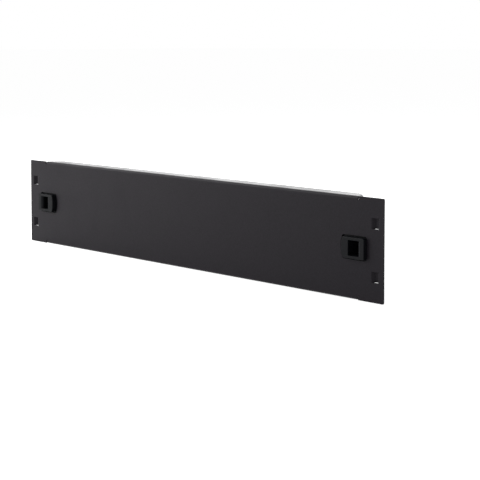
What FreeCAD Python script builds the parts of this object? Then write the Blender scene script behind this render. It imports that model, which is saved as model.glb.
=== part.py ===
import FreeCAD, Part

# A tool-less 2U rack blanking panel: one folded sheet with four locating lugs, and at each end a
# sprung slide latch whose button stands through the sheet and whose tongue grips behind the rail.
#
# X runs along the panel, Y runs into the rack and Z is up. The origin is the middle of the panel on
# the plane that seats on the rails, so the sheet lies in front of Y = 0 and all else behind it.
# The right-hand latch is modelled; the left-hand one is the same parts turned half round about Y.

import math
import os

# ---- The folded sheet, in mm ----
PANEL_WIDTH = 482.6
PANEL_HEIGHT = 87.0
SHEET = 1.5
BEND_INSIDE = 1.0           # inside radius of the flange bends
FLANGE_DEPTH = 16.0         # front face to the flange's rear edge
FLANGE_RAIL_GAP = 11.9      # flange end to the rail's inner edge
FLANGE_CORNER = 9.0         # mitre on each flange's rear corners
RELIEF_WIDTH = 1.2          # slot between each flange end and the rail tab
RELIEF_PAST_BEND = 0.6
PANEL_CORNER = 1.0

# ---- The rack that the panel fits (EIA-310) ----
RACK_UNIT_HEIGHT = 44.45
HOLE_INSET = 8.75           # panel's end to the rail's hole column
RAIL_COVER = 15.9           # panel's end to the rail's inner edge
RAIL_HOLE = 9.5             # square holes
RAIL_THICKNESS = 2.0

# ---- Locating lugs, lanced out of the sheet into the rail's square holes ----
LUG_HOLE_GAP = 0.2          # lug to the hole, above and below
LUG_BEND_ROOM = 1.4         # hole width less the lug's, between its two bends at mid-sheet
LUG_DEPTH = 2.7             # how far the lug is pushed back
LUG_BEND_INSIDE = 0.3

# ---- Latch: the button that stands proud of the sheet ----
BUTTON_RAIL_GAP = 2.0       # button's straight side to the rail's inner edge
BUTTON_LENGTH = 24.8
BUTTON_HEIGHT = 18.0
BUTTON_PROUD = 3.8
BUTTON_END_RADIUS = 26.0    # the bowed inboard end
BUTTON_CORNER = 1.4
BUTTON_EDGE = 0.6
WINDOW_GAP = 1.2            # sheet window above and below the button
WINDOW_STOP_GAP = 0.1       # between the button and the window's outboard edge
WINDOW_CORNER = 1.8
LATCH_TRAVEL = 2.8
TRAVEL_SPARE = 0.4          # left between the button and the window at full travel

# ---- Latch: the finger pocket in the button ----
POCKET_INBOARD = 17.0       # pulling wall, measured inboard from the button's straight side
POCKET_LENGTH = 10.2        # straight part, before the rolled lip
POCKET_LIP = 3.0            # radius of the rolled outboard lip
POCKET_HEIGHT = 13.2
POCKET_DEPTH = 13.0
POCKET_WALL = 1.6
POCKET_CORNER = 0.5
HOUSING_CORNER = 1.0        # outside of the pocket's housing, inboard

# ---- Latch: the slide plate behind the sheet ----
SLIDE_CLEARANCE = 0.15      # running gap on each face of the slide plate
SLIDE_SIDE_CLEARANCE = 0.2
PLATE_THICKNESS = 2.0
PLATE_LAP = 2.8             # plate beyond the window, above and below
PLATE_COVER = 3.0           # plate beyond the window's inboard end
PLATE_RAIL_GAP = 0.6        # plate end to the rail's inner edge
PLATE_CORNER = 1.5

# ---- Latch: the tongue behind the rail ----
TONGUE_GRIP = 2.3           # reach past the rail's inner edge
TONGUE_GAP = 0.5            # behind the rail
TONGUE_THICKNESS = 3.5
TONGUE_STEP = 0.6           # tongue narrower than the pocket's housing, each side
TONGUE_TIP = 0.8            # flat on the tip
TONGUE_RIB = 1.8
TONGUE_FLOOR = 1.4

# ---- Latch: the return spring and its seats ----
SPRING_OUTSIDE = 4.8
SPRING_WIRE = 0.55
SPRING_LENGTH = 12.5        # between its seats, latch out
SPRING_TURNS = 7
SPRING_FLOOR_GAP = 0.35     # coil to the slide plate
SPRING_CLOSED_GAP = 0.03    # between the wires of each closed end turn
BOSS_TO_POCKET = 9.4        # the face that the spring pushes to the pocket's pulling wall
BOSS_THICKNESS = 2.0
BOSS_HEIGHT = 9.0
BOSS_GUSSET_TOE = 1.0       # height of each gusset where it meets the housing
PEG_CLEARANCE = 0.35        # spring bore to the pegs, on the radius
PEG_BEVEL = 0.45
LATCH_PEG = 3.0
KEEPER_PEG = 1.6

# ---- Keeper: the stamped fork that holds the slide against the sheet ----
KEEPER_SHEET = 1.0
KEEPER_BEND_INSIDE = 0.3
KEEPER_BACK = 6.0           # keeper's inboard end to the spring's seat
KEEPER_SHORT = 4.8          # keeper's outboard end short of the slide plate's
KEEPER_FOOT = 9.5           # each foot's width beyond the joggle
KEEPER_SLOT_GAP = 0.4       # fork's slot to the pocket's housing, each side
KEEPER_SLOT_RADIUS = 1.0
KEEPER_TAB_WIDTH = 10.0
KEEPER_TAB_LAP = 1.0        # tab beyond the spring
KEEPER_CORNER = 2.0

# ---- Fasteners: weld studs and hexagon nuts, M3 ----
STUD_RADIUS = 1.45
STUD_LENGTH = 6.0
STUD_BEVEL = 0.4
STUD_HOLE_GAP = 0.2         # keeper's hole to the stud, on the radius
NUT_ACROSS_FLATS = 5.5
NUT_HEIGHT = 2.4
NUT_FACE_INSET = 0.05       # crown's flat ring inside the flats
THREAD_GAP = 0.05

# ---- Places that follow from the sizes above ----
FRONT = -SHEET
REAR = FLANGE_DEPTH - SHEET
HALF_WIDTH = PANEL_WIDTH / 2
HALF_HEIGHT = PANEL_HEIGHT / 2
BEND_OUTSIDE = BEND_INSIDE + SHEET
RAIL_EDGE = HALF_WIDTH - RAIL_COVER
HOLE_X = HALF_WIDTH - HOLE_INSET
HOLE_Z = RACK_UNIT_HEIGHT / 2       # the middle hole of each of the panel's two rack units
FLANGE_END = RAIL_EDGE - FLANGE_RAIL_GAP
LUG_ROOT = RAIL_HOLE - LUG_BEND_ROOM
LUG_HEIGHT = RAIL_HOLE - 2 * LUG_HOLE_GAP

BUTTON_OUTBOARD = RAIL_EDGE - BUTTON_RAIL_GAP
BUTTON_INBOARD = BUTTON_OUTBOARD - BUTTON_LENGTH
BUTTON_FRONT = FRONT - BUTTON_PROUD
WINDOW_OUTBOARD = BUTTON_OUTBOARD + WINDOW_STOP_GAP
WINDOW_INBOARD = BUTTON_INBOARD - LATCH_TRAVEL - TRAVEL_SPARE
WINDOW_HEIGHT = BUTTON_HEIGHT + 2 * WINDOW_GAP

POCKET_PULL = BUTTON_OUTBOARD - POCKET_INBOARD
POCKET_BACK = POCKET_PULL + POCKET_LENGTH
POCKET_FLOOR = BUTTON_FRONT + POCKET_DEPTH
HOUSING_HEIGHT = POCKET_HEIGHT + 2 * POCKET_WALL

PLATE_FRONT = SLIDE_CLEARANCE
PLATE_REAR = PLATE_FRONT + PLATE_THICKNESS
PLATE_HEIGHT = WINDOW_HEIGHT + 2 * PLATE_LAP
PLATE_INBOARD = WINDOW_INBOARD - PLATE_COVER
PLATE_OUTBOARD = RAIL_EDGE - PLATE_RAIL_GAP

TONGUE_FACE = RAIL_THICKNESS + TONGUE_GAP
TONGUE_BACK = TONGUE_FACE + TONGUE_THICKNESS
TONGUE_HEIGHT = HOUSING_HEIGHT - 2 * TONGUE_STEP

BOSS_INBOARD = POCKET_PULL - BOSS_TO_POCKET
SPRING_SEAT = BOSS_INBOARD - SPRING_LENGTH
SPRING_RADIUS = (SPRING_OUTSIDE - SPRING_WIRE) / 2
SPRING_Y = PLATE_REAR + SPRING_FLOOR_GAP + SPRING_OUTSIDE / 2
SPRING_BACK = SPRING_Y + SPRING_OUTSIDE / 2
PEG_RADIUS = SPRING_OUTSIDE / 2 - SPRING_WIRE - PEG_CLEARANCE

KEEPER_FRONT = PLATE_REAR + SLIDE_CLEARANCE
KEEPER_INBOARD = SPRING_SEAT - KEEPER_BACK
KEEPER_OUTBOARD = PLATE_OUTBOARD - KEEPER_SHORT
KEEPER_SLOT = HOUSING_HEIGHT + 2 * KEEPER_SLOT_GAP
KEEPER_INNER_Z = PLATE_HEIGHT / 2 + SLIDE_SIDE_CLEARANCE
FOOT_INNER_Z = KEEPER_INNER_Z + KEEPER_SHEET
FOOT_OUTER_Z = FOOT_INNER_Z + KEEPER_FOOT
STUD_X = (KEEPER_INBOARD + KEEPER_OUTBOARD) / 2
STUD_Z = (FOOT_INNER_Z + FOOT_OUTER_Z) / 2

CUT_SPARE = 1.0             # how far a cutting block runs past what it cuts
MITRED = 1                  # makePipeShell's corner style


# ---- Small drawing helpers ----
def vec(x, y, z):
    return FreeCAD.Vector(x, y, z)


def box(x0, x1, y0, y1, z0, z1):
    """A block between two corners."""
    return Part.makeBox(x1 - x0, y1 - y0, z1 - z0, vec(x0, y0, z0))


def side_profile(points, z0, z1):
    """An outline in X and Y, carried from z0 to z1."""
    wire = Part.makePolygon([vec(x, y, z0) for x, y in points + points[:1]])
    return Part.Face(wire).extrude(vec(0, 0, z1 - z0))


def fuse(shapes):
    """One clean solid from several that meet."""
    return shapes[0].multiFuse(shapes[1:]).removeSplitter()


def edges_along(shape, direction, test):
    """The straight edges of a shape that run along a direction and pass a test on their middle."""
    found = []
    for edge in shape.Edges:
        if not isinstance(edge.Curve, Part.Line):
            continue
        if edge.Curve.Direction.cross(direction).Length > 1e-6:
            continue
        if test(edge.CenterOfMass):
            found.append(edge)
    return found


def bent_section(path, sheet, inside_radius, place):
    """The section of a bent sheet as a face.

    path is the mid-line's corner points in 2D, and place turns a 2D point into a 3D one.
    """
    points = [vec(a, b, 0) for a, b in path]
    runs = [(after - before).normalize() for before, after in zip(points, points[1:])]
    edges = []
    ends = []
    for side in (1, -1):
        offsets = [vec(-run.y, run.x, 0) * (side * sheet / 2) for run in runs]
        start = points[0] + offsets[0]
        ends.append([start, points[-1] + offsets[-1]])
        for i in range(1, len(runs)):
            half_turn = runs[i - 1].getAngle(runs[i]) / 2
            inner_side = side * runs[i - 1].cross(runs[i]).z > 0
            radius = inside_radius if inner_side else inside_radius + sheet
            corner = points[i] + (offsets[i - 1] + offsets[i]) / (2 * math.cos(half_turn) ** 2)
            reach = radius * math.tan(half_turn)
            arc_start = corner - runs[i - 1] * reach
            arc_end = corner + runs[i] * reach
            inward = (runs[i] - runs[i - 1]).normalize()
            arc_middle = corner + inward * (radius / math.cos(half_turn) - radius)
            edges.append(("line", start, arc_start))
            edges.append(("arc", arc_start, arc_middle, arc_end))
            start = arc_end
        edges.append(("line", start, ends[-1][1]))
    edges.append(("line", ends[0][0], ends[1][0]))
    edges.append(("line", ends[0][1], ends[1][1]))
    shapes = []
    for kind, *corners in edges:
        placed = [place(corner.x, corner.y) for corner in corners]
        curve = Part.LineSegment(*placed) if kind == "line" else Part.Arc(*placed)
        shapes.append(curve.toShape())
    return Part.Face(Part.Wire(Part.__sortEdges__(shapes)))


def regular_polygon(sides, radius, centre, axis):
    """A closed polygon on a circle round an axis."""
    turn = FreeCAD.Rotation(vec(0, 0, 1), axis)
    corners = []
    for i in range(sides + 1):
        angle = 2 * math.pi * i / sides
        corners.append(centre + turn.multVec(vec(radius * math.cos(angle), radius * math.sin(angle), 0)))
    return Part.makePolygon(corners)


def d_block(outboard, inboard, height, end_radius, corner, y0, y1):
    """A block whose outline in X and Z is straight outboard and bowed inboard."""
    half = height / 2
    shoulder = inboard + end_radius - math.sqrt(end_radius ** 2 - half ** 2)
    bow = Part.Arc(vec(shoulder, y0, half), vec(inboard, y0, 0), vec(shoulder, y0, -half))
    sides = Part.makePolygon([vec(shoulder, y0, -half), vec(outboard, y0, -half),
                              vec(outboard, y0, half), vec(shoulder, y0, half)])
    outline = Part.Wire(Part.__sortEdges__(sides.Edges + [bow.toShape()]))
    block = Part.Face(outline).extrude(vec(0, y1 - y0, 0))
    return block.makeFillet(corner, edges_along(block, vec(0, 1, 0), lambda middle: True))


# ---- The folded sheet ----
def lanced_lug(x, z):
    """One lug: a strip sheared free above and below, pushed back between two bends, joined at its ends."""
    mid = FRONT / 2
    root = LUG_ROOT / 2
    floor = root - LUG_DEPTH
    foot = root + 2 * SHEET
    path = [(x - foot, mid), (x - root, mid), (x - floor, mid + LUG_DEPTH),
            (x + floor, mid + LUG_DEPTH), (x + root, mid), (x + foot, mid)]
    section = bent_section(path, SHEET, LUG_BEND_INSIDE, lambda a, b: vec(a, b, z - LUG_HEIGHT / 2))
    return section.extrude(vec(0, 0, LUG_HEIGHT))


def make_panel():
    web = box(-HALF_WIDTH, HALF_WIDTH, FRONT, 0, -HALF_HEIGHT, HALF_HEIGHT)
    corners = edges_along(web, vec(0, 1, 0), lambda middle: True)
    web = web.makeFillet(PANEL_CORNER, corners)

    # The long edges stop at the bend line between the rail tabs, with a relief slot at each end.
    near, far = FRONT - CUT_SPARE, CUT_SPARE
    slot_end = FLANGE_END + RELIEF_WIDTH
    bend_line = HALF_HEIGHT - BEND_OUTSIDE
    slot_floor = bend_line - RELIEF_PAST_BEND
    cuts = []
    for up in (-1, 1):
        edge = sorted((up * bend_line, up * (HALF_HEIGHT + CUT_SPARE)))
        cuts.append(box(-slot_end, slot_end, near, far, *edge))
        slot = sorted((up * slot_floor, up * (HALF_HEIGHT + CUT_SPARE)))
        for x0 in (-slot_end, FLANGE_END):
            cuts.append(box(x0, x0 + RELIEF_WIDTH, near, far, *slot))

    # Windows for the lugs and for the two latch buttons.
    window_half = LUG_ROOT / 2 + SHEET
    lug_centres = [(x, z) for x in (-HOLE_X, HOLE_X) for z in (-HOLE_Z, HOLE_Z)]
    for x, z in lug_centres:
        reach = LUG_HEIGHT / 2
        cuts.append(box(x - window_half, x + window_half, near, far, z - reach, z + reach))
    right_window = d_block(WINDOW_OUTBOARD, WINDOW_INBOARD, WINDOW_HEIGHT, BUTTON_END_RADIUS,
                           WINDOW_CORNER, near, far)
    cuts.append(right_window)
    cuts.append(half_round(right_window))
    web = web.cut(cuts)

    # The flanges and the bends that carry them, folded back from the web.
    top = HALF_HEIGHT - SHEET / 2
    mid = FRONT / 2
    path = [(REAR, top), (mid, top), (mid, -top), (REAR, -top)]
    section = bent_section(path, SHEET, BEND_INSIDE, lambda y, z: vec(-FLANGE_END, y, z))
    channel = section.extrude(vec(2 * FLANGE_END, 0, 0))
    opening = box(-slot_end, slot_end, near, 0, -bend_line, bend_line)
    flanges = channel.cut(opening)
    rear_corners = edges_along(flanges, vec(0, 0, 1), lambda middle: middle.y > REAR - SHEET)
    flanges = flanges.makeChamfer(FLANGE_CORNER, rear_corners)

    lugs = [lanced_lug(x, z) for x, z in lug_centres]
    return fuse([web, flanges] + lugs)


# ---- The right-hand latch ----
def half_round(shape):
    """The same part at the other end: turned half round about Y."""
    turned = shape.copy()
    turned.rotate(vec(0, 0, 0), vec(0, 1, 0), 180)
    return turned


def make_latch():
    """The moulded slide: button, finger pocket, slide plate, spring boss and tongue in one."""
    button = d_block(BUTTON_OUTBOARD, BUTTON_INBOARD, BUTTON_HEIGHT, BUTTON_END_RADIUS,
                     BUTTON_CORNER, BUTTON_FRONT, PLATE_REAR)
    rim = [edge for edge in button.Edges
           if all(abs(end.Y - BUTTON_FRONT) < 1e-6 for end in edge.Vertexes)]
    button = button.makeFillet(BUTTON_EDGE, rim)

    half = PLATE_HEIGHT / 2
    plate = box(PLATE_INBOARD, PLATE_OUTBOARD, PLATE_FRONT, PLATE_REAR, -half, half)
    plate = plate.makeFillet(PLATE_CORNER, edges_along(plate, vec(0, 1, 0), lambda middle: True))

    housing_half = HOUSING_HEIGHT / 2
    housing = box(POCKET_PULL - POCKET_WALL, POCKET_BACK + POCKET_WALL, PLATE_FRONT,
                  POCKET_FLOOR + POCKET_WALL, -housing_half, housing_half)
    deep = edges_along(housing, vec(0, 1, 0), lambda middle: middle.x < POCKET_PULL)
    housing = housing.makeFillet(HOUSING_CORNER, deep)

    return fuse([button, plate, housing, make_tongue(), make_boss()]).cut(finger_pocket())


def finger_pocket():
    """The space for a fingertip: a square wall to pull on, and a rolled lip to slide in over."""
    lip_start = POCKET_BACK + POCKET_LIP
    lip_middle = POCKET_LIP * (1 - math.sqrt(0.5))
    mouth = BUTTON_FRONT - CUT_SPARE
    corners = [vec(POCKET_BACK, BUTTON_FRONT + POCKET_LIP, 0), vec(POCKET_BACK, POCKET_FLOOR, 0),
               vec(POCKET_PULL, POCKET_FLOOR, 0), vec(POCKET_PULL, mouth, 0),
               vec(lip_start, mouth, 0), vec(lip_start, BUTTON_FRONT, 0)]
    lip = Part.Arc(corners[-1], vec(POCKET_BACK + lip_middle, BUTTON_FRONT + lip_middle, 0), corners[0])
    outline = Part.Wire(Part.__sortEdges__(Part.makePolygon(corners).Edges + [lip.toShape()]))
    section = Part.Face(outline)
    section.translate(vec(0, 0, -POCKET_HEIGHT / 2))
    pocket = section.extrude(vec(0, 0, POCKET_HEIGHT))
    uprights = edges_along(pocket, vec(0, 1, 0), lambda middle: middle.x < POCKET_BACK - POCKET_CORNER)
    return pocket.makeFillet(POCKET_CORNER, uprights)


def make_tongue():
    """The tongue: behind the rail, with a ramp that the rail pushes on as the panel goes in."""
    tip = RAIL_EDGE + TONGUE_GRIP
    root = POCKET_BACK
    ramp_top = TONGUE_FACE + TONGUE_TIP
    ramp_end = tip - (TONGUE_BACK - ramp_top)
    half = TONGUE_HEIGHT / 2
    outline = [(root, PLATE_FRONT), (PLATE_OUTBOARD, PLATE_FRONT), (PLATE_OUTBOARD, TONGUE_FACE),
               (tip, TONGUE_FACE), (tip, ramp_top), (ramp_end, TONGUE_BACK), (root, TONGUE_BACK)]
    tongue = side_profile(outline, -half, half)
    # Two cores from behind leave three ribs, so no wall is thick.
    core_height = (TONGUE_HEIGHT - 3 * TONGUE_RIB) / 2
    core_start = root + POCKET_WALL + TONGUE_RIB / 2
    core_end = PLATE_OUTBOARD - TONGUE_RIB
    for low in (-half + TONGUE_RIB, TONGUE_RIB / 2):
        core = box(core_start, core_end, PLATE_FRONT + TONGUE_FLOOR, TONGUE_BACK + CUT_SPARE,
                   low, low + core_height)
        tongue = tongue.cut(core)
    return tongue


def make_boss():
    """The wall that the spring pushes, its two gussets and the peg that the spring sits on."""
    half = BOSS_HEIGHT / 2
    outboard = BOSS_INBOARD + BOSS_THICKNESS
    wall = box(BOSS_INBOARD, outboard, PLATE_FRONT, SPRING_BACK, -half, half)
    reach = POCKET_PULL - POCKET_WALL / 2
    gusset = [(outboard, PLATE_FRONT), (reach, PLATE_FRONT), (reach, PLATE_REAR + BOSS_GUSSET_TOE),
              (outboard, SPRING_BACK)]
    ribs = [side_profile(gusset, low, low + TONGUE_RIB) for low in (-half, half - TONGUE_RIB)]
    peg = peg_on(BOSS_INBOARD, -1, LATCH_PEG)
    return fuse([wall, peg] + ribs)


def peg_on(x, way, length):
    """A chamfered round peg along X that the end of the spring sits on."""
    peg = Part.makeCylinder(PEG_RADIUS, length, vec(x, SPRING_Y, 0), vec(way, 0, 0))
    tip = [edge for edge in peg.Edges
           if isinstance(edge.Curve, Part.Circle) and abs(edge.Curve.Center.x - x) > length / 2]
    return peg.makeChamfer(PEG_BEVEL, tip)


def make_spring():
    """A compression spring with closed ends, between the keeper's tab and the latch's boss.

    The wire is a run of short straight lengths of hexagonal section, mitred where they meet.
    """
    runs_per_turn = 12
    sides = 6
    closed_pitch = SPRING_WIRE + SPRING_CLOSED_GAP
    open_pitch = (SPRING_LENGTH - SPRING_WIRE - 2 * closed_pitch) / (SPRING_TURNS - 2)
    points = []
    x = SPRING_SEAT + SPRING_WIRE / 2
    for step in range(SPRING_TURNS * runs_per_turn + 1):
        turn = step / runs_per_turn
        angle = 2 * math.pi * turn
        points.append(vec(x, SPRING_Y + SPRING_RADIUS * math.cos(angle), SPRING_RADIUS * math.sin(angle)))
        closed = turn < 1 or turn >= SPRING_TURNS - 1
        x += (closed_pitch if closed else open_pitch) / runs_per_turn
    path = Part.makePolygon(points)
    wire_end = regular_polygon(sides, SPRING_WIRE / 2, points[0], points[1] - points[0])
    return path.makePipeShell([wire_end], True, False, MITRED)


def make_keeper():
    """The fork: two arms joggled over the slide plate, and a tab turned up for the spring."""
    mid = KEEPER_SHEET / 2
    top = KEEPER_FRONT + mid
    leg = KEEPER_INNER_Z + mid
    path = [(-FOOT_OUTER_Z, mid), (-leg, mid), (-leg, top), (leg, top), (leg, mid), (FOOT_OUTER_Z, mid)]
    section = bent_section(path, KEEPER_SHEET, KEEPER_BEND_INSIDE, lambda z, y: vec(KEEPER_INBOARD, y, z))
    plate = section.extrude(vec(KEEPER_OUTBOARD - KEEPER_INBOARD, 0, 0))
    foot_corners = edges_along(plate, vec(0, 1, 0), lambda middle: abs(middle.z) > STUD_Z)
    plate = plate.makeFillet(KEEPER_CORNER, foot_corners)

    slot_start = SPRING_SEAT - KEEPER_SHEET - KEEPER_BEND_INSIDE
    half_slot = KEEPER_SLOT / 2
    slot = box(slot_start, KEEPER_OUTBOARD + CUT_SPARE, KEEPER_FRONT - CUT_SPARE,
               KEEPER_FRONT + KEEPER_SHEET + CUT_SPARE, -half_slot, half_slot)
    slot_corners = edges_along(slot, vec(0, 1, 0), lambda middle: middle.x < KEEPER_OUTBOARD)
    slot = slot.makeFillet(KEEPER_SLOT_RADIUS, slot_corners)
    holes = [stud_bore(STUD_HOLE_GAP, KEEPER_SHEET, z) for z in (-STUD_Z, STUD_Z)]
    plate = plate.cut([slot] + holes)

    tab_mid = SPRING_SEAT - mid
    tab_path = [(slot_start - KEEPER_SHEET, top), (tab_mid, top), (tab_mid, SPRING_BACK + KEEPER_TAB_LAP)]
    half_tab = KEEPER_TAB_WIDTH / 2
    tab = bent_section(tab_path, KEEPER_SHEET, KEEPER_BEND_INSIDE, lambda x, y: vec(x, y, -half_tab))
    tab = tab.extrude(vec(0, 0, KEEPER_TAB_WIDTH))
    return fuse([plate, tab, peg_on(SPRING_SEAT, 1, KEEPER_PEG)])


def turned_profile(points, z):
    """A round part turned about a stud's axis, from its radii and places along that axis."""
    outline = [vec(0, points[0][1], 0)] + [vec(r, y, 0) for r, y in points] + [vec(0, points[-1][1], 0)]
    face = Part.Face(Part.makePolygon(outline + outline[:1]))
    solid = face.revolve(vec(0, 0, 0), vec(0, 1, 0), 360)
    solid.translate(vec(STUD_X, 0, z))
    return solid


def stud_bore(gap, depth, z):
    """The space for a stud through something that reaches to a depth behind the sheet."""
    start = vec(STUD_X, -CUT_SPARE, z)
    return Part.makeCylinder(STUD_RADIUS + gap, depth + 2 * CUT_SPARE, start, vec(0, 1, 0))


def make_studs():
    """The threaded weld studs that hold the keeper, butted on the sheet's rear face."""
    profile = [(STUD_RADIUS, 0), (STUD_RADIUS, STUD_LENGTH - STUD_BEVEL),
               (STUD_RADIUS - STUD_BEVEL, STUD_LENGTH)]
    return Part.makeCompound([turned_profile(profile, z) for z in (-STUD_Z, STUD_Z)])


def hexagon_nut(z):
    """A hexagon nut on the keeper's foot, with its corners turned off at 30 degrees on the outer end."""
    seat = KEEPER_SHEET
    top = seat + NUT_HEIGHT
    corner_radius = NUT_ACROSS_FLATS / math.sqrt(3)
    outline = regular_polygon(6, corner_radius, vec(STUD_X, seat, z), vec(0, 1, 0))
    body = Part.Face(outline).extrude(vec(0, NUT_HEIGHT, 0))
    face_radius = NUT_ACROSS_FLATS / 2 - NUT_FACE_INSET
    drop = (corner_radius - face_radius) * math.tan(math.pi / 6)
    crown = turned_profile([(corner_radius, seat), (corner_radius, top - drop), (face_radius, top)], z)
    return body.common(crown).cut(stud_bore(THREAD_GAP, top, z))


def make_nuts():
    return Part.makeCompound([hexagon_nut(z) for z in (-STUD_Z, STUD_Z)])


def main():
    os.makedirs("parts", exist_ok=True)
    nodes = {"panel": make_panel()}
    for name, make in (("latch", make_latch), ("return_spring", make_spring), ("keeper", make_keeper),
                       ("weld_studs", make_studs), ("nuts", make_nuts)):
        right = make()
        nodes[name + "_right"] = right
        nodes[name + "_left"] = half_round(right)
    for name, shape in nodes.items():
        shape.exportStep("parts/" + name + ".step")
        box_size = shape.BoundBox
        print(name, "solids", len(shape.Solids), "valid", shape.isValid(),
              "volume", round(shape.Volume, 1),
              "X", round(box_size.XMin, 2), round(box_size.XMax, 2),
              "Y", round(box_size.YMin, 2), round(box_size.YMax, 2),
              "Z", round(box_size.ZMin, 2), round(box_size.ZMax, 2))


main()
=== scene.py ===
import math

import bpy
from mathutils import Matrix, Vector


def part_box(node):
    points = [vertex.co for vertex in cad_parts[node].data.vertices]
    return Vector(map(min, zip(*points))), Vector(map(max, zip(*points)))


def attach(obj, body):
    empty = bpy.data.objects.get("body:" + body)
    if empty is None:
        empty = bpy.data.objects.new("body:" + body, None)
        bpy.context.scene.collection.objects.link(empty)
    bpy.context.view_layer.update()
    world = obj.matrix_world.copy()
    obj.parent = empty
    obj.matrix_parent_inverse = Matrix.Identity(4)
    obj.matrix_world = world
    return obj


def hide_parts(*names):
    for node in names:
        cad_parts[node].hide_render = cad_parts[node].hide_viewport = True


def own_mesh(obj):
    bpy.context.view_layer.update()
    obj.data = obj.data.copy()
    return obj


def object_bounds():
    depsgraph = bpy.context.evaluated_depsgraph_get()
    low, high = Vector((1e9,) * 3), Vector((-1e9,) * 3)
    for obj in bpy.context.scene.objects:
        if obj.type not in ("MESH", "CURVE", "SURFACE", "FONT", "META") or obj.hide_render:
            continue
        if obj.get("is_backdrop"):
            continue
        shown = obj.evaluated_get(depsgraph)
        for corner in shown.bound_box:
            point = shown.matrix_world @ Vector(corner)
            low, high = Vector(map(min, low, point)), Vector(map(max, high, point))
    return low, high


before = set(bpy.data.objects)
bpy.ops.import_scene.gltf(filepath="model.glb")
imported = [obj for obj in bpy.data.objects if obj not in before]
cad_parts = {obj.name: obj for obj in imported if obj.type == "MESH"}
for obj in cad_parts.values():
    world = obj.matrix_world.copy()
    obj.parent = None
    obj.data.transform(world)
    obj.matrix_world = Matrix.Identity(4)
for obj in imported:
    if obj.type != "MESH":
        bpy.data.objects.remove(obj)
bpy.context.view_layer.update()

bl_info = {
    "name": "Rack Blanking Panel",
    "version": (1, 0, 0),
    "blender": (4, 5, 0),
    "location": "View3D > Sidebar > Blanking Panel",
    "description": "Finishes a two-unit rack blanking panel: "
                   "broken sheet edges, coil springs, threaded studs",
    "category": "Object",
}

MM = 0.001
SIDES = ("right", "left")

# ---- Where edges stay sharp, from the middle of the panel ----
LUGS_BEGIN = 226 * MM      # along the panel
LUGS_END = 30 * MM         # up and down
LIP_BEGINS = 216 * MM      # along the panel, the inboard end of a pocket's rolled lip
LIP_ENDS = 220 * MM        # along the panel, the lip's outboard end
LIP_HALF_HEIGHT = 7.5 * MM
LIP_BACK = -2 * MM         # front to back; the lip lies in front of this

# ---- How finely the meshes are made ----
PATCH_GAP = 0.001 * MM     # the CAD's face patches meet closer than this
ROUND_GAP = 0.01 * MM      # points of a round that fall together in a tight corner
WIRE_GAP = 0.0005 * MM     # doubled points in the swept wire
THREAD_GAP = 0.002 * MM    # doubled points where one turn of thread meets the next
CUT_GAP = 0.0001 * MM      # a point this close to a cut counts as on it
FLAT_ANGLE = math.radians(0.5)      # faces that meet at less are joined into one
SHARP_ANGLE = math.radians(40)      # edges sharper than this get a round
# Faces that meet at less than these are shaded as one smooth surface.
SMOOTH_SKIN = math.radians(35)
SMOOTH_WIRE = math.radians(60)
SMOOTH_THREAD = math.radians(25)
LARGE_FACES_LEAD = 100     # how far the large faces settle the shading at an edge
ROUND_STEPS = 2            # faces across a round
COIL_STEPS = 20            # points of the wire's path in a turn
CURVE_STEPS = 2            # straight pieces of wire between two of those points
WIRE_STEPS = 3             # roundness of the wire
CURVE_ORDER = 3            # how many points of the path share in each stretch of it
THREAD_STEPS = 28          # straight pieces in a turn of thread

# ---- Shapes of the wire and the thread ----
CLOSED_TURNS = 2
CLOSED_PITCH = 1.04        # pitch of a closed turn, in wire diameters
TURNS_BELOW = 2            # turns of thread swept below a stud's foot, then cut off
TURNS_SPARE = 3            # turns swept beyond a stud's length, the ones below included
CONE_LENGTH = 1.4          # length of a stud's cone, in thread depths

# ---- Patterns and shades of the finishes ----
POWDER_FLOW = 35 * MM      # patches where the melted powder ran
SPECK = 0.7                # the coat's small specks, as a share of its grain
SPECK_WEIGHT = 0.35        # how much the specks count beside the pebbles
MOULD_FLOW = 6 * MM        # flow marks
SPARK_HEIGHT = 0.012 * MM
PLATE_CLOUD = 9 * MM       # cloudy patches of the passivation
ROLL_HEIGHT = 0.016 * MM
STAMPING_ROLL = 0.5 * MM   # spacing of the rolling lines
NUT_ROLL = 0.25 * MM
FLOW_STRETCH = (0.35, 1.0, 1.0)     # flow marks are about three times as long along X
ROLL_STRETCH = (0.06, 1.0, 1.0)     # rolling lines are about seventeen times as long along X
OIL_PATCH = 1.6 * MM
TARNISH_PATCH = 1.2 * MM
PAPER_TOOTH = 2 * MM
PAPER_RELIEF = 0.02 * MM
# The levels between which nearly all of a noise pattern lies, and those of the coat's peaks.
NOISE_RANGE = {"From Min": 0.3, "From Max": 0.7}
PEAK_RANGE = {"From Min": 0.45, "From Max": 0.85}
# How much smoother and duller than its setting a surface is in places.
COAT_SMOOTHER = 0.05
COAT_DULLER = 0.06
NYLON_SMOOTHER = 0.04
NYLON_DULLER = 0.05
# Gloss, well below the usual 0.5. It was set together with the lamps, the sky and both blacks, so
# that the coat and the latches come out as dark as the real ones.
COAT_GLOSS = 0.12
NYLON_GLOSS = 0.1
# The roughness of the metals, from their smoothest places to their dullest.
ZINC_ROUGHNESS = {"To Min": 0.24, "To Max": 0.42}
WIRE_ROUGHNESS = {"To Min": 0.22, "To Max": 0.36}
STUD_ROUGHNESS = {"To Min": 0.28, "To Max": 0.5}
# How a second shade differs from the first, in red, green and blue.
PALER_NYLON = (1.5, 1.5, 1.5)
BLUER_ZINC = (0.86, 0.93, 1.0)
OILED_STEEL = (0.62, 0.62, 0.62)
BROWNED_COPPER = (0.55, 0.5, 0.48)
PALER_COAT = 1.35
COAT_LIFT = 0.0006         # added to each of the coat's levels as well
WHITE = (1.0, 1.0, 1.0, 1.0)


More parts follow.
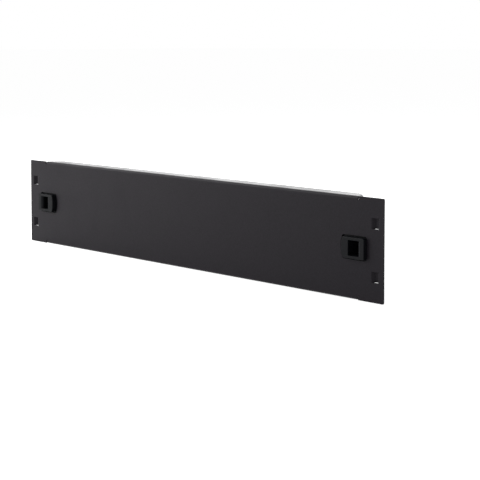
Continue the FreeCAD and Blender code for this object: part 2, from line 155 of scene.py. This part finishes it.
# ---- Settings a user would change ----
def length(label, text, millimetres):
    """A size in millimetres, kept in metres."""
    return bpy.props.FloatProperty(name=label, description=text, default=millimetres * MM,
                                   min=0.0, precision=5, unit="LENGTH")


def amount(label, text, value):
    """A plain fraction from 0 to 1."""
    return bpy.props.FloatProperty(name=label, description=text, default=value,
                                   min=0.0, max=1.0, subtype="FACTOR")


def linear(hex_colour):
    """An sRGB hex colour as the linear values that a shader takes."""
    values = []
    for start in (0, 2, 4):
        level = int(hex_colour[start:start + 2], 16) / 255
        values.append(level / 12.92 if level <= 0.04045 else ((level + 0.055) / 1.055) ** 2.4)
    return (*values, 1.0)


def colour(label, text, hex_colour):
    """A colour, given as it looks on a screen."""
    return bpy.props.FloatVectorProperty(name=label, description=text, subtype="COLOR", size=4,
                                         min=0.0, max=1.0, default=linear(hex_colour))


class SheetSettings(bpy.types.PropertyGroup):
    """The folded sheet and its coat"""
    edge: length("Edge round", "Round on the sheared edges under the coat", 0.12)
    coat: colour("Powder coat", "Colour of the coat", "1A171C")
    roughness: amount("Roughness", "How dull the coat is", 0.42)
    grain: length("Grain", "Spacing of the coat's fine texture", 1.1)
    relief: length("Relief", "Height of the coat's fine texture", 0.02)


class LatchSettings(bpy.types.PropertyGroup):
    """The moulded latches"""
    edge: length("Edge round", "Round on the moulding's edges", 0.1)
    nylon: colour("Nylon", "Colour of the moulding", "0B0C0F")
    roughness: amount("Roughness", "How dull the moulding is", 0.5)
    spark: length("Spark texture", "Spacing of the mould's spark-eroded texture", 0.7)


class KeeperSettings(bpy.types.PropertyGroup):
    """The stamped keepers and the nuts"""
    edge: length("Edge round", "Round on the stamped edges", 0.05)
    zinc: colour("Zinc", "Colour of the bright zinc plate", "B3B6BA")
    nut_edge: length("Nut edge round", "Round on the nuts' edges", 0.04)


class SpringSettings(bpy.types.PropertyGroup):
    """The return springs"""
    wire: length("Wire", "Diameter of the spring wire", 0.55)
    turns: bpy.props.IntProperty(name="Turns", description="Turns, the two closed ones included",
                                 default=7, min=4, max=12)
    steel: colour("Steel", "Colour of the drawn wire", "9A9B9E")


class StudSettings(bpy.types.PropertyGroup):
    """The weld studs"""
    pitch: length("Thread pitch", "Advance of the thread in one turn", 0.5)
    depth: length("Thread depth", "Crest to root", 0.26)
    copper: colour("Flash plate", "Colour of the studs' thin copper plate", "AE8468")


class StageSettings(bpy.types.PropertyGroup):
    """The floor, the lamps and the sky"""
    floor: colour("Floor", "Colour of the floor", "F6F6F6")
    key: bpy.props.FloatProperty(name="Key light", description="Power of the large lamp",
                                 default=10.0, min=0.0, unit="POWER")
    rim: bpy.props.FloatProperty(name="Rim light", description="Power of the wide lamp behind",
                                 default=20.0, min=0.0, unit="POWER")
    sky: amount("Sky", "Level of the light from all round", 0.38)


# ---- Selecting and shaping ----
def deselect():
    """Object Mode, with nothing selected."""
    if bpy.context.object and bpy.context.object.mode != "OBJECT":
        bpy.ops.object.mode_set(mode="OBJECT")
    bpy.ops.object.select_all(action="DESELECT")


def take(piece):
    """Selects one piece alone and makes it active."""
    deselect()
    piece.select_set(True)
    bpy.context.view_layer.objects.active = piece


def open_mesh():
    """Edit Mode on the active piece, with all of it selected."""
    bpy.ops.object.mode_set(mode="EDIT")
    bpy.ops.mesh.select_all(action="SELECT")


def apply_modifier(piece, kind, **settings):
    """Adds one modifier, sets it up and applies it."""
    take(piece)
    bpy.ops.object.modifier_add(type=kind)
    modifier = piece.modifiers[-1]
    for name, value in settings.items():
        setattr(modifier, name, value)
    bpy.ops.object.modifier_apply(modifier=modifier.name)


def smooth_faces(piece):
    """Smooth shading between faces that meet at a small angle, with flat faces kept flat."""
    take(piece)
    bpy.ops.object.shade_smooth_by_angle(angle=SMOOTH_SKIN)
    apply_modifier(piece, "WEIGHTED_NORMAL", keep_sharp=True, weight=LARGE_FACES_LEAD)


def lanced(middle):
    """True by the lugs, on the end tabs inside the sheet's outline."""
    return abs(middle.x) > LUGS_BEGIN and abs(middle.z) < LUGS_END


def lip_side(middle):
    """True by the ends of a pocket's rolled lip, where it runs out into the button's face."""
    along = LIP_BEGINS < abs(middle.x) < LIP_ENDS
    return along and abs(middle.z) < LIP_HALF_HEIGHT and middle.y < LIP_BACK


def broken_edges(node, name, edge, left_sharp=lambda middle: False):
    """A copy of a CAD node as one joined skin, with a small round on its sharp edges. Edges whose
    middles left_sharp picks out get none, because rounds would fold over themselves there."""
    take(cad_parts[node])
    bpy.ops.object.duplicate()
    piece = bpy.context.object
    piece.name = name
    piece.data.name = name
    open_mesh()
    bpy.ops.mesh.customdata_custom_splitnormals_clear()
    bpy.ops.mesh.remove_doubles(threshold=PATCH_GAP)
    bpy.ops.mesh.dissolve_limited(angle_limit=FLAT_ANGLE)
    bpy.ops.mesh.select_mode(type="EDGE")
    bpy.ops.mesh.select_all(action="DESELECT")
    bpy.ops.mesh.edges_select_sharp(sharpness=SHARP_ANGLE)
    bpy.ops.object.mode_set(mode="OBJECT")
    skin = piece.data
    rounded = skin.attributes.new("bevel_weight_edge", "FLOAT", "EDGE")
    for border in skin.edges:
        start, end = (skin.vertices[index].co for index in border.vertices)
        if border.select and not left_sharp((start + end) / 2):
            rounded.data[border.index].value = 1.0
    apply_modifier(piece, "BEVEL", width=edge, segments=ROUND_STEPS, limit_method="WEIGHT",
                   use_clamp_overlap=False)
    # In the tightest corners the round overshoots, so it is drawn back to the CAD surface.
    apply_modifier(piece, "SHRINKWRAP", target=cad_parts[node],
                   wrap_method="NEAREST_SURFACEPOINT", wrap_mode="INSIDE")
    open_mesh()
    bpy.ops.mesh.remove_doubles(threshold=ROUND_GAP)
    bpy.ops.object.mode_set(mode="OBJECT")
    smooth_faces(piece)
    return piece


def dress(piece, body, nodes, material):
    """Seats a finished piece: what it rides on, what it stands for and what it is made of."""
    piece.data.materials.clear()
    piece.data.materials.append(material)
    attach(piece, body)
    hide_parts(*nodes)


# ---- Finishes ----
def add_node(tree, kind, settings=None, links=None):
    """Adds one shader node, sets its sockets or its own settings, and links what feeds it."""
    node = tree.nodes.new(kind)
    for key, value in (settings or {}).items():
        if isinstance(key, int) or key in node.inputs:
            node.inputs[key].default_value = value
        else:
            setattr(node, key, value)
    for key, source in (links or {}).items():
        tree.links.new(source, node.inputs[key])
    return node


def new_material(name):
    """An empty node material and its tree, with the object's own coordinates in metres."""
    material = bpy.data.materials.new(name)
    material.use_nodes = True
    tree = material.node_tree
    tree.nodes.clear()
    place = add_node(tree, "ShaderNodeTexCoord").outputs["Object"]
    return material, tree, place


def shade(base, change):
    """A second shade of a colour, with its red, green and blue each made stronger or weaker."""
    return tuple(level * factor for level, factor in zip(base[:3], change)) + (1.0,)


def seen_directly(tree):
    """1 for what is seen, also in a reflection or through glass, and 0 for what only gives light."""
    ray = add_node(tree, "ShaderNodeLightPath")
    direct = add_node(tree, "ShaderNodeMath", {"operation": "MAXIMUM"},
                      {0: ray.outputs["Is Camera Ray"], 1: ray.outputs["Is Glossy Ray"]})
    seen = add_node(tree, "ShaderNodeMath", {"operation": "MAXIMUM"},
                    {0: direct.outputs["Value"], 1: ray.outputs["Is Transmission Ray"]})
    return seen.outputs["Value"]


def powder_coat_fine_texture_black(look):
    """Polyester powder coat, sprayed and baked: a satin black skin with a fine, slightly pebbled
    texture. It looks even from afar, glints a little along edges and goes pale at a glancing view."""
    material, tree, place = new_material("powder_coat_fine_texture_black")
    # Flow of the melted powder: broad, faint changes of gloss.
    flow = add_node(tree, "ShaderNodeTexNoise",
                    {"Scale": 1 / POWDER_FLOW, "Detail": 3.0, "Roughness": 0.55}, {"Vector": place})
    gloss = add_node(tree, "ShaderNodeMapRange",
                     {**NOISE_RANGE, "To Min": look.roughness - COAT_SMOOTHER,
                      "To Max": look.roughness + COAT_DULLER}, {"Value": flow.outputs["Fac"]})
    # The real texture is 0.3 mm across, too fine to show, so it is drawn at the grain set here.
    pebbles = add_node(tree, "ShaderNodeTexNoise",
                       {"Scale": 1 / look.grain, "Detail": 2.0, "Roughness": 0.6}, {"Vector": place})
    specks = add_node(tree, "ShaderNodeTexVoronoi",
                      {"Scale": 1 / (look.grain * SPECK), "feature": "SMOOTH_F1", "Smoothness": 0.8},
                      {"Vector": place})
    texture = add_node(tree, "ShaderNodeMath", {"operation": "MULTIPLY_ADD", 1: SPECK_WEIGHT},
                       {0: specks.outputs["Distance"], 2: pebbles.outputs["Fac"]})
    relief = add_node(tree, "ShaderNodeBump", {"Strength": 0.6, "Distance": look.relief},
                      {"Height": texture.outputs["Value"]})
    # Pigment thins a little on the texture's peaks.
    lighter = tuple(min(1.0, level * PALER_COAT + COAT_LIFT) for level in look.coat[:3]) + (1.0,)
    spread = add_node(tree, "ShaderNodeMapRange",
                      {**PEAK_RANGE, "To Min": 0.0, "To Max": 1.0},
                      {"Value": texture.outputs["Value"]})
    pigment = add_node(tree, "ShaderNodeMix", {"data_type": "RGBA", 6: tuple(look.coat), 7: lighter},
                       {0: spread.outputs["Result"]})
    coat = add_node(tree, "ShaderNodeBsdfPrincipled",
                    {"IOR": 1.5, "Metallic": 0.0, "Specular IOR Level": COAT_GLOSS},
                    {"Base Color": pigment.outputs[2], "Roughness": gloss.outputs["Result"],
                     "Normal": relief.outputs["Normal"]})
    add_node(tree, "ShaderNodeOutputMaterial", links={"Surface": coat.outputs["BSDF"]})
    return material


def nylon_moulded_spark_black(look):
    """Glass-filled nylon, injection moulded in a spark-eroded tool: a slightly duller, more neutral
    black than the coat, with a fine even sparkle and faint flow marks away from the gate."""
    material, tree, place = new_material("nylon_moulded_spark_black")
    stretched = add_node(tree, "ShaderNodeMapping", {"Scale": FLOW_STRETCH}, {"Vector": place})
    flow = add_node(tree, "ShaderNodeTexNoise",
                    {"Scale": 1 / MOULD_FLOW, "Detail": 2.0, "Distortion": 0.6},
                    {"Vector": stretched.outputs["Vector"]})
    gloss = add_node(tree, "ShaderNodeMapRange",
                     {**NOISE_RANGE, "To Min": look.roughness - NYLON_SMOOTHER,
                      "To Max": look.roughness + NYLON_DULLER}, {"Value": flow.outputs["Fac"]})
    # A real spark texture is finer, too fine to show, so it is drawn at the spacing set here.
    spark = add_node(tree, "ShaderNodeTexNoise",
                     {"Scale": 1 / look.spark, "Detail": 3.0, "Roughness": 0.7}, {"Vector": place})
    relief = add_node(tree, "ShaderNodeBump", {"Strength": 0.5, "Distance": SPARK_HEIGHT},
                      {"Height": spark.outputs["Fac"]})
    lighter = shade(look.nylon, PALER_NYLON)
    tint = add_node(tree, "ShaderNodeMix", {"data_type": "RGBA", 6: tuple(look.nylon), 7: lighter},
                    {0: flow.outputs["Fac"]})
    nylon = add_node(tree, "ShaderNodeBsdfPrincipled",
                     {"IOR": 1.53, "Metallic": 0.0, "Specular IOR Level": NYLON_GLOSS},
                     {"Base Color": tint.outputs[2], "Roughness": gloss.outputs["Result"],
                      "Normal": relief.outputs["Normal"]})
    add_node(tree, "ShaderNodeOutputMaterial", links={"Surface": nylon.outputs["BSDF"]})
    return material


def bright_zinc_plate(name, zinc, roll):
    """Cold-rolled steel, barrel plated in bright zinc: cool grey metal with soft rolling lines
    under the plate and cloudy patches where the passivation dried."""
    material, tree, place = new_material(name)
    rolled = add_node(tree, "ShaderNodeMapping", {"Scale": ROLL_STRETCH}, {"Vector": place})
    # Real rolling lines lie closer together, too fine to show, so they are drawn wider apart.
    lines = add_node(tree, "ShaderNodeTexNoise",
                     {"Scale": 1 / roll, "Detail": 3.0, "Roughness": 0.6},
                     {"Vector": rolled.outputs["Vector"]})
    clouds = add_node(tree, "ShaderNodeTexNoise", {"Scale": 1 / PLATE_CLOUD, "Detail": 3.0},
                      {"Vector": place})
    blue = shade(zinc, BLUER_ZINC)
    tint = add_node(tree, "ShaderNodeMix", {"data_type": "RGBA", 6: tuple(zinc), 7: blue},
                    {0: clouds.outputs["Fac"]})
    gloss = add_node(tree, "ShaderNodeMapRange",
                     {**NOISE_RANGE, **ZINC_ROUGHNESS},
                     {"Value": clouds.outputs["Fac"]})
    relief = add_node(tree, "ShaderNodeBump", {"Strength": 0.5, "Distance": ROLL_HEIGHT},
                      {"Height": lines.outputs["Fac"]})
    plate = add_node(tree, "ShaderNodeBsdfPrincipled", {"Metallic": 1.0},
                     {"Base Color": tint.outputs[2], "Roughness": gloss.outputs["Result"],
                      "Normal": relief.outputs["Normal"]})
    add_node(tree, "ShaderNodeOutputMaterial", links={"Surface": plate.outputs["BSDF"]})
    return material


def drawn_spring_wire(steel):
    """Patented carbon steel wire, drawn and oiled: mid-grey metal, darker and a little duller
    where the oil has gathered, so each turn shows one soft highlight."""
    material, tree, place = new_material("drawn_spring_wire")
    oil = add_node(tree, "ShaderNodeTexNoise", {"Scale": 1 / OIL_PATCH, "Detail": 2.0},
                   {"Vector": place})
    darker = shade(steel, OILED_STEEL)
    tint = add_node(tree, "ShaderNodeMix", {"data_type": "RGBA", 6: tuple(steel), 7: darker},
                    {0: oil.outputs["Fac"]})
    gloss = add_node(tree, "ShaderNodeMapRange",
                     {**NOISE_RANGE, **WIRE_ROUGHNESS},
                     {"Value": oil.outputs["Fac"]})
    wire = add_node(tree, "ShaderNodeBsdfPrincipled", {"Metallic": 1.0},
                    {"Base Color": tint.outputs[2], "Roughness": gloss.outputs["Result"]})
    add_node(tree, "ShaderNodeOutputMaterial", links={"Surface": wire.outputs["BSDF"]})
    return material


def copper_flashed_stud(copper):
    """Mild steel weld stud with a rolled thread and a thin copper flash for the weld: a warm,
    slightly dull metal, browner where the flash has tarnished."""
    material, tree, place = new_material("copper_flashed_stud")
    tarnish = add_node(tree, "ShaderNodeTexNoise", {"Scale": 1 / TARNISH_PATCH, "Detail": 3.0},
                       {"Vector": place})
    brown = shade(copper, BROWNED_COPPER)
    tint = add_node(tree, "ShaderNodeMix", {"data_type": "RGBA", 6: tuple(copper), 7: brown},
                    {0: tarnish.outputs["Fac"]})
    gloss = add_node(tree, "ShaderNodeMapRange",
                     {**NOISE_RANGE, **STUD_ROUGHNESS},
                     {"Value": tarnish.outputs["Fac"]})
    metal = add_node(tree, "ShaderNodeBsdfPrincipled", {"Metallic": 1.0},
                     {"Base Color": tint.outputs[2], "Roughness": gloss.outputs["Result"]})
    add_node(tree, "ShaderNodeOutputMaterial", links={"Surface": metal.outputs["BSDF"]})
    return material


def studio_floor(floor):
    """Seamless paper: matt and nearly white, with a very faint tooth."""
    material, tree, place = new_material("studio_floor")
    tooth = add_node(tree, "ShaderNodeTexNoise", {"Scale": 1 / PAPER_TOOTH, "Detail": 2.0},
                     {"Vector": place})
    relief = add_node(tree, "ShaderNodeBump", {"Strength": 0.1, "Distance": PAPER_RELIEF},
                      {"Height": tooth.outputs["Fac"]})
    paper = add_node(tree, "ShaderNodeBsdfDiffuse", {"Color": tuple(floor)},
                     {"Normal": relief.outputs["Normal"]})
    # Seen directly or in a reflection the paper glows a little, so it stays white around the shadow.
    level = add_node(tree, "ShaderNodeMath", {"operation": "MULTIPLY", 1: PAPER_GLOW},
                     {0: seen_directly(tree)})
    glow = add_node(tree, "ShaderNodeEmission", {"Color": WHITE},
                    {"Strength": level.outputs["Value"]})
    both = add_node(tree, "ShaderNodeAddShader", links={0: paper.outputs["BSDF"],
                                                        1: glow.outputs["Emission"]})
    add_node(tree, "ShaderNodeOutputMaterial", links={"Surface": both.outputs["Shader"]})
    return material


def studio_world(sky):
    """White all round where it is seen or reflected, and a plain soft level where it lights."""
    world = bpy.data.worlds.new("studio_world")
    world.use_nodes = True
    tree = world.node_tree
    tree.nodes.clear()
    level = add_node(tree, "ShaderNodeMapRange", {"To Min": sky, "To Max": 1.0},
                     {"Value": seen_directly(tree)})
    light = add_node(tree, "ShaderNodeBackground", {"Color": WHITE},
                     {"Strength": level.outputs["Result"]})
    add_node(tree, "ShaderNodeOutputWorld", links={"Surface": light.outputs["Background"]})
    return world


# ---- One operator for each piece or group of like pieces ----
class OBJECT_OT_blanking_sheet(bpy.types.Operator):
    """The folded sheet, with its sheared edges rounded by the coat"""
    bl_idname = "object.blanking_sheet"
    bl_label = "Folded Sheet"
    bl_options = {"REGISTER", "UNDO"}

    def execute(self, context):
        look = context.scene.blanking_sheet
        sheet = broken_edges("panel", "folded_sheet", look.edge, left_sharp=lanced)
        dress(sheet, "panel_assembly", ["panel"], powder_coat_fine_texture_black(look))
        return {"FINISHED"}


class OBJECT_OT_blanking_latches(bpy.types.Operator):
    """The two moulded slide latches"""
    bl_idname = "object.blanking_latches"
    bl_label = "Slide Latches"
    bl_options = {"REGISTER", "UNDO"}

    def execute(self, context):
        look = context.scene.blanking_latches
        nylon = nylon_moulded_spark_black(look)
        for side in SIDES:
            latch = broken_edges("latch_" + side, "slide_latch_" + side, look.edge,
                                 left_sharp=lip_side)
            dress(latch, side + "_latch", ["latch_" + side], nylon)
        return {"FINISHED"}


class OBJECT_OT_blanking_keepers(bpy.types.Operator):
    """The stamped keepers behind the latches, with their nuts"""
    bl_idname = "object.blanking_keepers"
    bl_label = "Keepers and Nuts"
    bl_options = {"REGISTER", "UNDO"}

    def execute(self, context):
        look = context.scene.blanking_keepers
        stamped = bright_zinc_plate("zinc_plated_stamping", look.zinc, STAMPING_ROLL)
        turned = bright_zinc_plate("zinc_plated_nut", look.zinc, NUT_ROLL)
        for side in SIDES:
            keeper = broken_edges("keeper_" + side, "latch_keeper_" + side, look.edge)
            dress(keeper, "panel_assembly", ["keeper_" + side], stamped)
            nuts = broken_edges("nuts_" + side, "hexagon_nuts_" + side, look.nut_edge)
            dress(nuts, "panel_assembly", ["nuts_" + side], turned)
        return {"FINISHED"}


class OBJECT_OT_blanking_springs(bpy.types.Operator):
    """The two return springs, coiled from round wire with closed ends"""
    bl_idname = "object.blanking_springs"
    bl_label = "Return Springs"
    bl_options = {"REGISTER", "UNDO"}

    def execute(self, context):
        look = context.scene.blanking_springs
        metal = drawn_spring_wire(look.steel)
        for side in SIDES:
            node = "return_spring_" + side
            low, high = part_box(node)
            seat, free = (low.x, high.x) if side == "right" else (high.x, low.x)
            spring = coil(node.replace("return", "coil"), seat, free, (low + high) / 2,
                          high.y - low.y, look)
            dress(spring, "panel_assembly", [node], metal)
            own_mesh(spring)
        return {"FINISHED"}


def coil(name, seat, free, middle, outside, look):
    """A helix of round wire along X from its seat to its free end, its end turns closed."""
    way = 1 if free > seat else -1
    radius = (outside - look.wire) / 2
    closed_pitch = look.wire * CLOSED_PITCH
    open_length = abs(free - seat) - look.wire - CLOSED_TURNS * closed_pitch
    open_pitch = open_length / (look.turns - CLOSED_TURNS)
    bpy.ops.curve.primitive_nurbs_path_add(location=(0, 0, 0))
    spring = bpy.context.object
    spring.name = name
    spring.data.splines.clear()
    path = spring.data.splines.new("NURBS")
    path.points.add(look.turns * COIL_STEPS)
    along = seat + way * look.wire / 2
    for i, point in enumerate(path.points):
        angle = way * 2 * math.pi * i / COIL_STEPS
        point.co = (along, middle.y + radius * math.cos(angle), middle.z + radius * math.sin(angle), 1)
        closed = i < COIL_STEPS or i >= (look.turns - 1) * COIL_STEPS
        along += way * (closed_pitch if closed else open_pitch) / COIL_STEPS
    path.order_u = CURVE_ORDER
    path.use_endpoint_u = True
    spring.data.dimensions = "3D"
    spring.data.resolution_u = CURVE_STEPS
    spring.data.bevel_depth = look.wire / 2
    spring.data.bevel_resolution = WIRE_STEPS
    spring.data.use_fill_caps = True
    take(spring)
    bpy.ops.object.convert(target="MESH")
    open_mesh()
    bpy.ops.mesh.remove_doubles(threshold=WIRE_GAP)
    bpy.ops.mesh.normals_make_consistent(inside=False)
    bpy.ops.object.mode_set(mode="OBJECT")
    bpy.ops.object.shade_smooth_by_angle(angle=SMOOTH_WIRE)
    return spring


class OBJECT_OT_blanking_studs(bpy.types.Operator):
    """The weld studs, with their rolled threads"""
    bl_idname = "object.blanking_studs"
    bl_label = "Weld Studs"
    bl_options = {"REGISTER", "UNDO"}

    def execute(self, context):
        look = context.scene.blanking_studs
        metal = copper_flashed_stud(look.copper)
        for side in SIDES:
            node = "weld_studs_" + side
            low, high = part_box(node)
            radius = (high.x - low.x) / 2
            shanks = []
            # One stud stands at each end of the node's box.
            for z in (low.z + radius, high.z - radius):
                centre = Vector(((low.x + high.x) / 2, low.y, z))
                shanks.append(threaded_shank(centre, radius, high.y - low.y, look))
            take(shanks[0])
            shanks[1].select_set(True)
            bpy.ops.object.join()
            studs = bpy.context.object
            studs.name = "threaded_studs_" + side
            dress(studs, "panel_assembly", [node], metal)
        return {"FINISHED"}


def threaded_shank(foot, radius, reach, look):
    """One stud along Y from its foot: a swept thread, cut square at both ends and topped by a cone."""
    deselect()
    bpy.ops.object.add(type="MESH", location=foot)
    stud = bpy.context.object
    # One tooth, from root to crest to root: distance from the axis, and share of a turn's advance.
    root = radius - look.depth
    tooth = [(root, 0.0), (root, 0.12), (radius, 0.44), (radius, 0.56), (root, 0.88), (root, 1.0)]
    points = [(away, (share - TURNS_BELOW) * look.pitch, 0) for away, share in tooth]
    stud.data.from_pydata(points, [(i, i + 1) for i in range(len(points) - 1)], [])
    turns = math.ceil(reach / look.pitch) + TURNS_SPARE
    apply_modifier(stud, "SCREW", axis="Y", angle=2 * math.pi, screw_offset=look.pitch,
                   iterations=turns, steps=THREAD_STEPS, render_steps=THREAD_STEPS)
    bpy.ops.object.transform_apply(location=True, rotation=True, scale=True)
    open_mesh()
    bpy.ops.mesh.remove_doubles(threshold=THREAD_GAP)
    for height, outward in ((foot.y, -1), (foot.y + reach, 1)):
        bpy.ops.mesh.select_all(action="SELECT")
        bpy.ops.mesh.bisect(plane_co=(foot.x, height, foot.z), plane_no=(0, outward, 0),
                            use_fill=True, clear_outer=True, threshold=CUT_GAP)
    bpy.ops.mesh.select_all(action="SELECT")
    bpy.ops.mesh.normals_make_consistent(inside=False)
    bpy.ops.object.mode_set(mode="OBJECT")
    # The tip is turned down to a short cone, so a nut starts easily.
    cone_begins = foot.y + reach - look.depth * CONE_LENGTH
    for vertex in stud.data.vertices:
        out = Vector((vertex.co.x - foot.x, 0, vertex.co.z - foot.z))
        most = radius - max(0.0, vertex.co.y - cone_begins)
        if out.length > most:
            vertex.co += out.normalized() * (most - out.length)
    bpy.ops.object.shade_smooth_by_angle(angle=SMOOTH_THREAD)
    return stud


# ---- The stage ----
CAMERA_AIM = Vector((76.2, -1.5, 100.4)) * MM
CAMERA_PLACE = Vector((897.6, -825.2, 173.8)) * MM
CAMERA_LENS_MM = 97.2
CAMERA_SENSOR_MM = 36
CAMERA_NEAR = 10 * MM
CAMERA_FAR = 100000 * MM
# A view camera's falling front: the camera stays nearly level, so the panel's ends stay upright.
CAMERA_FALL = -0.25
# A large soft lamp off the left end in front, and a wider one off the same end behind.
KEY_PLACE = Vector((-850, -650, 550)) * MM
KEY_SIZE = 1000 * MM
RIM_PLACE = Vector((-1000, 1000, 750)) * MM
RIM_SIZE = 1600 * MM
# The floor runs far past the camera on every side.
FLOOR_SIZE = 40000 * MM
PAPER_GLOW = 0.64


class OBJECT_OT_blanking_stage(bpy.types.Operator):
    """The floor, the lamps, the sky and the camera"""
    bl_idname = "object.blanking_stage"
    bl_label = "Stage"
    bl_options = {"REGISTER", "UNDO"}

    def execute(self, context):
        look = context.scene.blanking_stage
        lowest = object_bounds()[0].z
        deselect()
        bpy.ops.mesh.primitive_plane_add(size=FLOOR_SIZE, location=(0, 0, lowest))
        floor = context.object
        floor.name = "studio_floor"
        bpy.ops.object.transform_apply(location=True, rotation=True, scale=True)
        floor.data.materials.append(studio_floor(look.floor))
        floor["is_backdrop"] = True
        area_lamp("key_light", KEY_PLACE, KEY_SIZE, look.key)
        area_lamp("rim_light", RIM_PLACE, RIM_SIZE, look.rim)
        context.scene.world = studio_world(look.sky)

        bpy.ops.object.camera_add(location=CAMERA_PLACE)
        camera = context.object
        camera.name = "studio_camera"
        camera.rotation_euler = (CAMERA_AIM - CAMERA_PLACE).to_track_quat("-Z", "Y").to_euler()
        camera.data.lens = CAMERA_LENS_MM
        camera.data.shift_y = CAMERA_FALL
        camera.data.sensor_width = CAMERA_SENSOR_MM
        camera.data.clip_start = CAMERA_NEAR
        camera.data.clip_end = CAMERA_FAR
        context.scene.camera = camera
        context.scene.view_settings.view_transform = "Standard"
        return {"FINISHED"}


def area_lamp(name, place, size, power):
    """A large soft lamp that faces the middle of the panel."""
    bpy.ops.object.light_add(type="AREA", location=place)
    lamp = bpy.context.object
    lamp.name = name
    lamp.rotation_euler = (-place).to_track_quat("-Z", "Y").to_euler()
    lamp.data.shape = "DISK"
    lamp.data.size = size
    lamp.data.energy = power
    lamp.visible_camera = False


# ---- The panel in the sidebar, and the run ----
GROUPS = (("blanking_sheet", SheetSettings), ("blanking_latches", LatchSettings),
          ("blanking_keepers", KeeperSettings), ("blanking_springs", SpringSettings),
          ("blanking_studs", StudSettings), ("blanking_stage", StageSettings))
OPERATORS = (OBJECT_OT_blanking_sheet, OBJECT_OT_blanking_latches, OBJECT_OT_blanking_keepers,
             OBJECT_OT_blanking_springs, OBJECT_OT_blanking_studs, OBJECT_OT_blanking_stage)


class VIEW3D_PT_blanking_panel(bpy.types.Panel):
    """Lists the pieces of the blanking panel with their settings"""
    bl_label = "Rack Blanking Panel"
    bl_idname = "VIEW3D_PT_blanking_panel"
    bl_space_type = "VIEW_3D"
    bl_region_type = "UI"
    bl_category = "Blanking Panel"

    def draw(self, context):
        for (name, group), operator in zip(GROUPS, OPERATORS):
            box = self.layout.box()
            box.operator(operator.bl_idname)
            for setting in group.__annotations__:
                box.prop(getattr(context.scene, name), setting)


def register():
    """Adds the settings, the operators and the sidebar panel."""
    for name, group in GROUPS:
        bpy.utils.register_class(group)
        setattr(bpy.types.Scene, name, bpy.props.PointerProperty(type=group))
    for operator in OPERATORS:
        bpy.utils.register_class(operator)
    bpy.utils.register_class(VIEW3D_PT_blanking_panel)


def unregister():
    """Takes away what register adds."""
    bpy.utils.unregister_class(VIEW3D_PT_blanking_panel)
    for operator in reversed(OPERATORS):
        bpy.utils.unregister_class(operator)
    for name, group in reversed(GROUPS):
        delattr(bpy.types.Scene, name)
        bpy.utils.unregister_class(group)


def main():
    """Builds every piece and the stage."""
    register()
    bpy.ops.object.blanking_sheet()
    bpy.ops.object.blanking_latches()
    bpy.ops.object.blanking_keepers()
    bpy.ops.object.blanking_springs()
    bpy.ops.object.blanking_studs()
    bpy.ops.object.blanking_stage()


if __name__ == "__main__":
    main()
